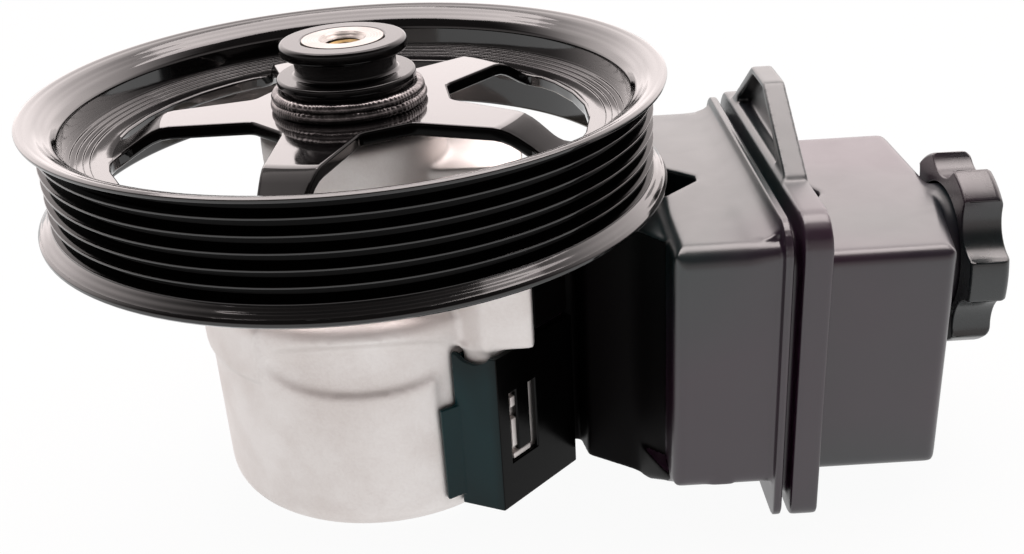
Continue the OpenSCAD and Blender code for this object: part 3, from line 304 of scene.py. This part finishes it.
pulleyPaint = dippedPaint("dippedBlackGlossPaint", {
    "colour": "#040304", "bloomAndSheen": "#0a0909", "bloomMm": 40, "bloomAndSheenFrom": -90, "bloomAndSheenTo": 200,
    "specular": 0.5, "lacquer": 0.5, "roughness": 0.07, "dustDull": 0.04, "dustMm": 3, "peelMm": 4,
    "peelDepthMm": 0.003, "spunFrom": 66.5, "spunMm": 1.3, "spunDepthMm": 0.02})
hubPaint = dippedPaint("dippedBlackHubPaint", {    # one coat, a little softer in its gloss than the pulley
    "colour": "#040304", "bloomAndSheen": "#0a0909", "bloomMm": 40, "bloomAndSheenFrom": -90, "bloomAndSheenTo": 200,
    "specular": 0.3, "lacquer": 0.0, "roughness": 0.1, "dustDull": 0.04, "dustMm": 3, "peelMm": 4,
    "peelDepthMm": 0.003, "spunFrom": 500, "spunMm": 1.3, "spunDepthMm": 0.0})
groovePaintedShade = dippedPaint("groovePaintedShadePaint", {    # a dull, near-black copy of the pulley paint: painted shade between the ribs
    "colour": "#030303", "bloomAndSheen": "#060505", "bloomMm": 40, "bloomAndSheenFrom": -90, "bloomAndSheenTo": 200,
    "specular": 0.08, "lacquer": 0.0, "roughness": 0.12, "dustDull": 0.05, "dustMm": 3, "peelMm": 4,
    "peelDepthMm": 0.003, "spunFrom": 66.5, "spunMm": 1.3, "spunDepthMm": 0.02})
clipSheenPaint = dippedPaint("dippedClipPaintPaintedSheen", {    # a painted blue-green sheen on the wing nearest the housing, fading out past the fold
    "colour": "#050606", "bloomAndSheen": "#17383c", "bloomMm": 30, "bloomAndSheenFrom": 28, "bloomAndSheenTo": 33,
    "specular": 0.18, "lacquer": 0.0, "roughness": 0.16, "dustDull": 0.06, "dustMm": 4, "peelMm": 3,
    "peelDepthMm": 0.004, "spunFrom": 500, "spunMm": 1.3, "spunDepthMm": 0.0})
clipPaintedShade = dippedPaint("dippedClipPaintPaintedShade", {    # the same paint made dull and deep black: painted shade on the far wing
    "colour": "#020202", "bloomAndSheen": "#060607", "bloomMm": 30, "bloomAndSheenFrom": -90, "bloomAndSheenTo": 200,
    "specular": 0.08, "lacquer": 0.0, "roughness": 0.2, "dustDull": 0.06, "dustMm": 4, "peelMm": 3,
    "peelDepthMm": 0.004, "spunFrom": 500, "spunMm": 1.3, "spunDepthMm": 0.0})
castSkin = castMetal("blastedCastAluminium", {
    "light": "#f2eeec", "dark": "#e8e2df", "cloudMm": 16, "gritMm": 0.7, "gritDepthMm": 0.04,
    "roughness": 0.64})
coverMetal = turnedMetal("turnedCoverAluminium", {
    "light": "#e2ddda", "dark": "#cfc9c5", "lineMm": 0.9, "lineDepthMm": 0.03, "toneMm": 14,
    "roughness": 0.34})
shaftSteel = turnedMetal("groundShaftSteel", {    # a bright, faintly warm end face
    "light": "#9b9692", "dark": "#8c8783", "lineMm": 0.7, "lineDepthMm": 0.02, "toneMm": 6,
    "roughness": 0.3})
weldSteel = turnedMetal("scaledWeldSteel", {    # dark scale that glints on each ripple
    "light": "#7a7676", "dark": "#524f4f", "lineMm": 0.5, "lineDepthMm": 0.01, "toneMm": 2,
    "roughness": 0.2})
threadSteel = turnedMetal("oiledThreadSteel", {    # brown from the oil that keeps it
    "light": "#8d7750", "dark": "#604e33", "lineMm": 0.7, "lineDepthMm": 0.02, "toneMm": 3,
    "roughness": 0.35})
groundSteel = turnedMetal("groundHardSteel", {
    "light": "#c9cacc", "dark": "#a9abae", "lineMm": 0.6, "lineDepthMm": 0.02, "toneMm": 8,
    "roughness": 0.28})
springSteel = turnedMetal("drawnSpringWire", {
    "light": "#a2a5aa", "dark": "#7e8186", "lineMm": 0.5, "lineDepthMm": 0.01, "toneMm": 5,
    "roughness": 0.32})
platedSteel = turnedMetal("zincPlatedSteel", {
    "light": "#d3d0c8", "dark": "#b4b0a4", "lineMm": 0.8, "lineDepthMm": 0.02, "toneMm": 7,
    "roughness": 0.33})
bearingBronze = turnedMetal("sinteredBronze", {
    "light": "#cdab78", "dark": "#a9854f", "lineMm": 0.6, "lineDepthMm": 0.02, "toneMm": 3,
    "roughness": 0.42})
sealRubber = mouldedRubber("mouldedNitrileRubber", {
    "light": "#1c1b1b", "dark": "#101010", "toothMm": 0.6, "toothDepthMm": 0.03})
tankPlastic = mouldedPlastic("mouldedTankNylon", {
    "green": "#0d1e20", "mauve": "#2a1527", "bloomMm": 60, "grainMm": 0.9, "grainDepthMm": 0.005,
    "scuffMm": 9, "roughness": 0.3, "specular": 0.9})
neckPaintedShade = mouldedPlastic("mouldedNeckNylonPaintedShade", {    # the tank's nylon made matt and black: painted shade on the neck
    "green": "#060808", "mauve": "#080607", "bloomMm": 60, "grainMm": 0.9, "grainDepthMm": 0.005,
    "scuffMm": 9, "roughness": 0.4, "specular": 0.04})
capPlastic = mouldedPlastic("mouldedCapNylon", {
    "green": "#111a1c", "mauve": "#261722", "bloomMm": 40, "grainMm": 0.9, "grainDepthMm": 0.005,
    "scuffMm": 7, "roughness": 0.27, "specular": 0.75})
print("materials made")


def newPiece(name, bm, material, body, smoothBelow):    # an object from a bmesh
    piece = bpy.data.objects.new(name, bpy.data.meshes.new(name))
    bpy.context.scene.collection.objects.link(piece)
    bm.to_mesh(piece.data)
    bm.free()
    piece.data.materials.append(material)
    piece.data.shade_smooth()
    piece.data.set_sharp_from_angle(angle=radians(smoothBelow))
    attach(piece, body)
    print("  made", name, len(piece.data.polygons), "faces")
    return piece


# A node's own shape with its edges eased: a copy is merged, cleaned and bevelled, wide edges first
def easedCopy(node, name, body, material, edges, paintedShadeCopy=None, inPaintedShadeCopy=None):
    bm = bmesh.new()
    bm.from_mesh(nodes[node].data)
    bmesh.ops.remove_doubles(bm, verts=bm.verts, dist=mergeMm * mm)
    bmesh.ops.dissolve_degenerate(bm, edges=bm.edges, dist=mergeMm * mm)
    bmesh.ops.dissolve_limit(bm, angle_limit=radians(flatDegrees), verts=bm.verts, edges=bm.edges,
                             use_dissolve_boundaries=False)
    for ease in edges:
        chosen = [e for e in bm.edges if len(e.link_faces) == 2
                  and e.calc_face_angle(0) > radians(ease["sharpAbove"])
                  and ease.get("where", lambda edge: True)(e)]
        bmesh.ops.bevel(bm, geom=chosen, offset=ease["edgeMm"] * mm, offset_type="OFFSET", affect="EDGES",
                        segments=ease["segments"], profile=0.5, material=-1, clamp_overlap=False,
                        loop_slide=True)
    for face in bm.faces:    # a painted-shade copy of the finish, where the piece has one
        face.material_index = 1 if paintedShadeCopy and inPaintedShadeCopy(face) else 0
    piece = newPiece(name, bm, material, body, 32)
    if paintedShadeCopy:
        piece.data.materials.append(paintedShadeCopy)
    even = piece.modifiers.new("evenShading", "WEIGHTED_NORMAL")
    even.keep_sharp = True
    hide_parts(node)
    return piece


# A node's shape as it leaves the mould: one even skin over the merged copy, its edges flowed round
def flowedCopy(node, name, body, material, mould, paintedShadeCopy=None, inPaintedShadeCopy=None):
    bm = bmesh.new()
    bm.from_mesh(nodes[node].data)
    bmesh.ops.remove_doubles(bm, verts=bm.verts, dist=mergeMm * mm)
    extra = [bm.verts.new(Vector(point) * mm) for point in mould.get("web", ())]
    if extra:    # a web of the same moulding, wrapped round its corner points
        hull = bmesh.ops.convex_hull(bm, input=extra)["geom"]
        shell = [part for part in hull if isinstance(part, bmesh.types.BMFace)]
        bmesh.ops.recalc_face_normals(bm, faces=shell)
    raw = newPiece(name + "Raw", bm, material, body, 180)
    skin = raw.modifiers.new("skin", "REMESH")
    skin.mode = "VOXEL"
    skin.voxel_size = mould["skinMm"] * mm
    flow = raw.modifiers.new("flow", "SMOOTH")
    flow.factor = 0.5
    flow.iterations = mould["flow"]
    fewer = raw.modifiers.new("fewer", "DECIMATE")
    fewer.ratio = mould["keep"]
    done = bpy.data.meshes.new_from_object(raw.evaluated_get(bpy.context.evaluated_depsgraph_get()))
    bpy.data.objects.remove(raw)
    bm = bmesh.new()
    bm.from_mesh(done)
    for v in bm.verts:
        v.co = mould.get("reshape", lambda place: place)(v.co)
    for face in bm.faces:
        face.material_index = 1 if paintedShadeCopy and inPaintedShadeCopy(face) else 0
    piece = newPiece(name, bm, material, body, 60)
    if paintedShadeCopy:
        piece.data.materials.append(paintedShadeCopy)
    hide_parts(node)
    return piece


bare = {"shaft_bushing": bearingBronze, "thrust_plate": groundSteel, "cam_ring": groundSteel,
        "pressure_plate": groundSteel, "dowel_pins": groundSteel, "pressure_spring": springSteel,
        "end_cover": coverMetal, "retaining_ring": springSteel, "outlet_fitting": platedSteel,
        "drive_shaft": shaftSteel, "rotor": groundSteel, "vanes": groundSteel,
        "rotor_snap_ring": springSteel, "dipstick": capPlastic, "flow_control_valve": groundSteel,
        "shaft_seal": sealRubber, "end_cover_seal": sealRubber, "outlet_seal": sealRubber,
        "joint_seal": sealRubber, "cap_gasket": sealRubber}
for node, material in bare.items():
    slots = nodes[node].data.materials
    slots.clear()
    slots.append(material)
print("bare nodes finished")

# Valve spring, foot in the bore and head on the valve: a merged, smooth-shaded copy of its coil
spring = {"mergeMm": 0.001, "smoothBelow": 35}
low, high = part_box("valve_spring")
bm = bmesh.new()
bm.from_mesh(nodes["valve_spring"].data)
bmesh.ops.remove_doubles(bm, verts=bm.verts, dist=spring["mergeMm"] * mm)
coil = bpy.data.objects.new("valveCoil", bpy.data.meshes.new("valveCoil"))
bpy.context.scene.collection.objects.link(coil)
bm.to_mesh(coil.data)
bm.free()
coil.data.materials.append(springSteel)
coil.data.shade_smooth()
coil.data.set_sharp_from_angle(angle=radians(spring["smoothBelow"]))
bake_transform(coil)
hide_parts("valve_spring")
print("valve spring made")

# Pulley, hub and their weld
pulley = {"windows": (23.5, 57.2), "webLow": 84.8, "webHigh": 95.2, "shearMm": 0.7, "edgeMm": 0.1,
          "ribTop": 71.28, "flangeTop": 77.5, "lipFoot": 97, "grooveFacing": 0.2}


def atWindow(edge):    # an edge of one of the five windows
    return all(pulley["windows"][0] < hypot(v.co.x, v.co.y) / mm < pulley["windows"][1]
               and pulley["webLow"] < v.co.z / mm < pulley["webHigh"] for v in edge.verts)


def beltSidePaintedShade(face):    # the grooves, which get the painted shade
    middle = face.calc_center_median() / mm
    radius = hypot(middle.x, middle.y)
    outward = (middle.x * face.normal.x + middle.y * face.normal.y) / radius
    between = pulley["flangeTop"] < middle.z < pulley["lipFoot"]
    return outward > pulley["grooveFacing"] and between and radius < pulley["ribTop"]


easedCopy("pulley", "pulleyPainted", "rotating_group", pulleyPaint, [
    {"edgeMm": pulley["shearMm"], "segments": 3, "sharpAbove": 50, "where": atWindow},
    {"edgeMm": pulley["edgeMm"], "segments": 2, "sharpAbove": 35,
     "where": lambda edge: not atWindow(edge)}],
    groovePaintedShade, beltSidePaintedShade)
easedCopy("pulley_hub", "hubPainted", "rotating_group", hubPaint, [
    {"edgeMm": 0.2, "segments": 2, "sharpAbove": 40}])

weld = {"runs": ((16.98, 96.0, 1.52), (16.57, 97.85, 1.5)),    # radius, height and thickness
        "ripples": 110, "steps": 5, "rippleMm": 0.14, "sides": 14, "mergeMm": 0.001}
bm = bmesh.new()
for row, (radius, height, thick) in enumerate(weld["runs"]):
    start = len(bm.verts)
    circle = bmesh.ops.create_circle(bm, cap_ends=False, segments=weld["sides"], radius=thick * mm)["verts"]
    bmesh.ops.rotate(bm, verts=circle, cent=(0, 0, 0), matrix=Matrix.Rotation(pi / 2, 3, "X"))
    bmesh.ops.translate(bm, verts=circle, vec=(radius * mm, 0, height * mm))
    loop = list({e for v in circle for e in v.link_edges})
    bmesh.ops.spin(bm, geom=circle + loop, axis=(0, 0, 1), cent=(0, 0, 0), angle=2 * pi,
                   steps=weld["ripples"] * weld["steps"], use_merge=True)
    bm.verts.ensure_lookup_table()
    for v in bm.verts[start:]:    # each drop of weld lies on the one before it, like a row of coins
        turn = atan2(v.co.y, v.co.x)
        middle = Vector((radius * cos(turn), radius * sin(turn), height)) * mm
        out = (v.co - middle).normalized()
        # The drops were never all of a size
        uneven = 2.4 * sin(turn * 5 + row) + 1.3 * sin(turn * 11 + 2 * row)
        ripple = abs(sin(turn * weld["ripples"] / 2 + uneven + out.z * 0.5))
        sway = 0.5 * sin(turn * 7 + row) + 0.5 * sin(turn * 17 + 2 * row)
        v.co += out * (ripple - 1.2 + 0.7 * sway) * weld["rippleMm"] * mm
bmesh.ops.remove_doubles(bm, verts=bm.verts, dist=weld["mergeMm"] * mm)
bmesh.ops.recalc_face_normals(bm, faces=bm.faces)
weldPiece = newPiece("weldRipples", bm, weldSteel, "rotating_group", 60)
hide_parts("weld_bead")

thread = {"radius": 4.27, "depth": 0.7, "pitch": 1.25, "top": 108.2, "turns": 8, "steps": 32,
          "foot": 0.56, "crest": 0.08}
bm = bmesh.new()
profile = [bm.verts.new(((thread["radius"] - inset) * mm, 0, (thread["top"] + rise) * mm))
           for inset, rise in ((0, -thread["foot"]), (thread["depth"], -thread["crest"]),
                               (thread["depth"], thread["crest"]), (0, thread["foot"]))]
face = bm.faces.new(profile)
bmesh.ops.spin(bm, geom=[face] + profile + list(face.edges), axis=(0, 0, 1), cent=(0, 0, 0),
               dvec=(0, 0, -thread["pitch"] * mm / thread["steps"]), angle=2 * pi * thread["turns"],
               steps=thread["turns"] * thread["steps"], use_merge=False)
bmesh.ops.recalc_face_normals(bm, faces=bm.faces)
newPiece("shaftThread", bm, threadSteel, "rotating_group", 30)
print("pulley group made")

# Housing, clips, tank and cap
scoop = {"low": 26, "high": 51, "wall": 36.8, "skin": 41, "front": -20, "floor": 1.5, "step": 0.9}


def evenScoop(place):    # the front scoop has a level floor between two soft steps
    radius = hypot(place.x, place.y) / mm
    depth = scoop["skin"] - radius
    if not (scoop["low"] < place.z / mm < scoop["high"] and 0 < depth < scoop["skin"] - scoop["wall"]
            and place.y < scoop["front"] * mm):
        return place
    grown = (scoop["skin"] - scoop["floor"] * (1 - exp(-depth / scoop["step"]))) / radius
    return Vector((place.x * grown, place.y * grown, place.z))


flowedCopy("pump_housing", "housingCast", "pump", castSkin,
           {"skinMm": 0.75, "flow": 12, "keep": 0.6, "reshape": evenScoop})

clip = {"fold": (30.6, -39.2), "wingTurn": 46.5, "wingFacing": 0.8, "edgeMm": 0.35}


def farWingPaintedShade(face):    # the wing beyond the fold, on the tank's side, which gets the painted shade
    turn = radians(clip["wingTurn"])
    facing = face.normal.x * sin(turn) - face.normal.y * cos(turn)
    return facing > clip["wingFacing"] and face.calc_center_median().x > clip["fold"][0] * mm


for node, name in (("front_clip", "clipFront"), ("rear_clip", "clipRear")):
    easedCopy(node, name, "pump", clipSheenPaint, [
        {"edgeMm": clip["edgeMm"], "segments": 2, "sharpAbove": 25}], clipPaintedShade, farWingPaintedShade)

# Cast ribs of the housing that stand in the clip's slots, measured along the wing from its fold
ribs = {"across": ((4.25, 6.05, 18.5, 26.5), (4.25, 6.05, 29.5, 32.4),    # near, far, low, high
                   (4.4, 10.5, 15.2, 16.9)),
        "foot": 1.6, "proud": 0.15, "edgeMm": 0.35}
turn = radians(clip["wingTurn"])
wing = Matrix(((cos(turn), -sin(turn), 0, clip["fold"][0]), (sin(turn), cos(turn), 0, clip["fold"][1]),
               (0, 0, 1, 0), (0, 0, 0, 1)))
bm = bmesh.new()
for near, far, low, high in ribs["across"]:
    block = bmesh.ops.create_cube(bm, size=1)["verts"]
    bmesh.ops.scale(bm, verts=block, vec=((far - near) * mm, (ribs["foot"] + ribs["proud"]) * mm,
                                          (high - low) * mm))
    bmesh.ops.translate(bm, verts=block, vec=((near + far) / 2 * mm,
                                              (ribs["foot"] - ribs["proud"]) / 2 * mm,
                                              (low + high) / 2 * mm))
wing.translation *= mm
bmesh.ops.transform(bm, matrix=wing, verts=bm.verts)
bmesh.ops.bevel(bm, geom=bm.edges[:], offset=ribs["edgeMm"] * mm, affect="EDGES", segments=3,
                profile=0.5, material=-1)
newPiece("housingCatchRibs", bm, castSkin, "pump", 60)

tank = {"skinMm": 0.42, "flow": 16, "keep": 0.3, "neckEnd": 69.8,
        "top": 72, "topSlack": 0.3, "side": 47.4, "roundMm": 5, "roundFrom": (69, 73), "roundTo": (86, 92),
        "web": ((64.6, -30.0, 4.4), (66.9, -32.8, 4.4), (64.6, -30.0, 13), (66.9, -32.8, 13),
                (72.6, -34, 11.5), (71.4, -45.6, 12.2), (70.2, -45.4, 13.4), (70.05, -37.2, 14),
                (73.2, -43.2, 14.3))}


def neckPaintedShadeFaces(face):    # the upright walls of the neck, between the clip and the tank, which get the painted shade
    return abs(face.normal.z) < 0.6 and face.calc_center_median().x < tank["neckEnd"] * mm


def roundShoulder(place):    # the pump half's upper edges, wider in radius from neck to lip
    x = place.x / mm
    share = min((x - tank["roundFrom"][0]) / (tank["roundFrom"][1] - tank["roundFrom"][0]),
                (tank["roundTo"][1] - x) / (tank["roundTo"][1] - tank["roundTo"][0]), 1)
    middle = Vector((tank["side"] - tank["roundMm"], tank["top"] - tank["roundMm"])) * mm
    out = Vector((abs(place.y), place.z)) - middle
    inside = share <= 0 or min(out) <= 0 or out.length < tank["roundMm"] * mm
    if inside or place.z > (tank["top"] + tank["topSlack"]) * mm:
        return place
    out *= 1 - share * (1 - tank["roundMm"] * mm / out.length)
    return Vector((place.x, copysign(middle.x + out.x, place.y), middle.y + out.y))


tank["reshape"] = roundShoulder
flowedCopy("reservoir_base", "tankPumpHalf", "pump", tankPlastic, tank,
           neckPaintedShade, neckPaintedShadeFaces)
flowedCopy("reservoir_end", "tankFillerHalf", "pump", tankPlastic,
           {"skinMm": tank["skinMm"], "flow": tank["flow"], "keep": tank["keep"]})
easedCopy("filler_cap", "capMoulded", "cap", capPlastic, [
    {"edgeMm": 0.5, "segments": 3, "sharpAbove": 35}])
print("pump group made")
